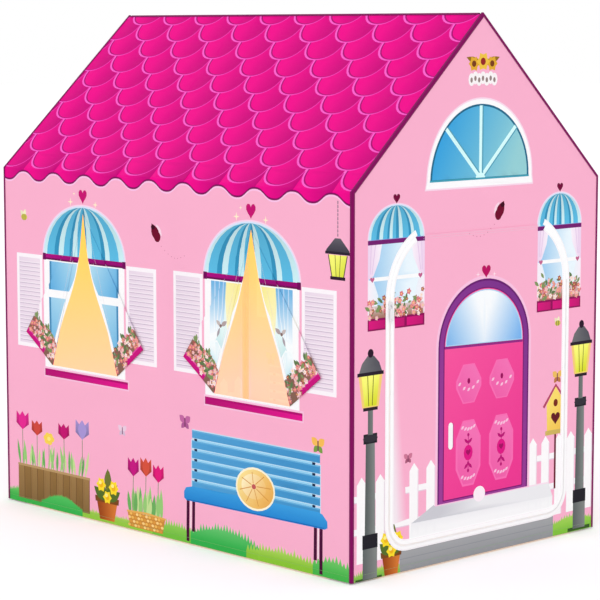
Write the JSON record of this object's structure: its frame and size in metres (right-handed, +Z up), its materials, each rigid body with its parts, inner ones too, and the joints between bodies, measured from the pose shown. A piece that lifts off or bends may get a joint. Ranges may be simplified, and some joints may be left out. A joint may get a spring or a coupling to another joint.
{
  "type": "kids play tent",
  "caption": "House-shaped cloth play tent on a push-fit pole frame, with a zipped lifting door flap and folded-back cloth flaps at the windows of its side wall.",
  "frame": {"origin": "centre of the footprint on the floor", "axes": "+Z up, front gable with the door faces -Y, ridge along Y, +X to the right seen from the front"},
  "size_m": [0.6821, 1.0388, 1.0203],
  "materials": {
    "pole": "extruded white plastic tube",
    "connector": "moulded white plastic",
    "gable_cloth": "printed pink polyester",
    "side_cloth": "printed pink wall and magenta roof polyester",
    "door_cloth": "printed polyester with a white zip tape sewn on",
    "window_cloth": "printed polyester",
    "binding": "plum binding tape",
    "zip_tape": "white woven zip tape with a nylon coil",
    "zip_metal": "white painted zinc"
  },
  "bodies": {
    "tent": {"ridge_connector_front": "connector", "ridge_pole_front": "pole", "base_connector_front_left": "connector", "eave_connector_front_left": "connector", "lower_upright_front_left": "pole", "upper_upright_front_left": "pole", "rafter_front_left": "pole", "base_cross_rail_front_left": "pole", "base_side_rail_left_front": "pole", "eave_cross_rail_front_left": "pole", "eave_side_rail_left_front": "pole", "base_connector_front_right": "connector", "eave_connector_front_right": "connector", "lower_upright_front_right": "pole", "upper_upright_front_right": "pole", "rafter_front_right": "pole", "base_cross_rail_front_right": "pole", "base_side_rail_right_front": "pole", "eave_cross_rail_front_right": "pole", "eave_side_rail_right_front": "pole", "ridge_connector_rear": "connector", "ridge_pole_rear": "pole", "base_connector_rear_left": "connector", "eave_connector_rear_left": "connector", "lower_upright_rear_left": "pole", "upper_upright_rear_left": "pole", "rafter_rear_left": "pole", "base_cross_rail_rear_left": "pole", "base_side_rail_left_rear": "pole", "eave_cross_rail_rear_left": "pole", "eave_side_rail_left_rear": "pole", "base_connector_rear_right": "connector", "eave_connector_rear_right": "connector", "lower_upright_rear_right": "pole", "upper_upright_rear_right": "pole", "rafter_rear_right": "pole", "base_cross_rail_rear_right": "pole", "base_side_rail_right_rear": "pole", "eave_cross_rail_rear_right": "pole", "eave_side_rail_right_rear": "pole", "front_wall": "gable_cloth", "rear_wall": "gable_cloth", "left_side_panel": "side_cloth", "right_side_panel": "side_cloth", "front_gable_binding": "binding", "rear_gable_binding": "binding", "ridge_binding": "binding", "wall_zip_tape": "zip_tape"},
    "door_flap_top": {"door_flap_top": "door_cloth"},
    "door_flap_middle": {"door_flap_middle": "door_cloth"},
    "door_flap_bottom": {"door_flap_bottom": "door_cloth"},
    "zip_slider": {"zip_slider": "zip_metal"},
    "zip_pull_tab": {"zip_pull_tab": "zip_metal"},
    "front_window_flap_front": {"front_window_flap_front": "window_cloth"},
    "front_window_flap_rear": {"front_window_flap_rear": "window_cloth"},
    "rear_window_flap_front": {"rear_window_flap_front": "window_cloth"},
    "rear_window_flap_rear": {"rear_window_flap_rear": "window_cloth"}
  },
  "joints": [
    {"name": "door_lift", "type": "hinge", "parent": "tent", "child": "door_flap_top", "pos_m": [0, -0.5161, 0.62], "axis": [-1, 0, 0], "range_deg": [0, 110]},
    {"name": "door_fold_upper", "type": "hinge", "parent": "door_flap_top", "child": "door_flap_middle", "pos_m": [0, -0.5161, 0.43067], "axis": [-1, 0, 0], "range_deg": [0, 55]},
    {"name": "door_fold_lower", "type": "hinge", "parent": "door_flap_middle", "child": "door_flap_bottom", "pos_m": [0, -0.5161, 0.24133], "axis": [-1, 0, 0], "range_deg": [0, 55]},
    {"name": "zip_run", "type": "slide", "parent": "tent", "child": "zip_slider", "axis": [0, 0, -1], "range_m": [0, 0.39]},
    {"name": "pull_tab_swing", "type": "hinge", "parent": "zip_slider", "child": "zip_pull_tab", "pos_m": [-0.245, -0.5201, 0.4974], "axis": [-1, 0, 0], "range_deg": [0, 150]},
    {"name": "front_window_fold_front", "type": "hinge", "parent": "tent", "child": "front_window_flap_front", "pos_m": [-0.34, -0.3025, 0.465], "axis": [0, -0.3118, -0.9502], "range_deg": [0, 180]},
    {"name": "front_window_fold_rear", "type": "hinge", "parent": "tent", "child": "front_window_flap_rear", "pos_m": [-0.34, -0.1975, 0.465], "axis": [0, -0.3118, 0.9502], "range_deg": [0, 180]},
    {"name": "rear_window_fold_front", "type": "hinge", "parent": "tent", "child": "rear_window_flap_front", "pos_m": [-0.34, 0.1975, 0.465], "axis": [0, -0.3118, -0.9502], "range_deg": [0, 180]},
    {"name": "rear_window_fold_rear", "type": "hinge", "parent": "tent", "child": "rear_window_flap_rear", "pos_m": [-0.34, 0.3025, 0.465], "axis": [0, -0.3118, 0.9502], "range_deg": [0, 180]}
  ],
  "couplings": [
    {"joint": "door_fold_upper", "follows": "door_lift", "ratio": 0.5},
    {"joint": "door_fold_lower", "follows": "door_lift", "ratio": 0.5}
  ]
}
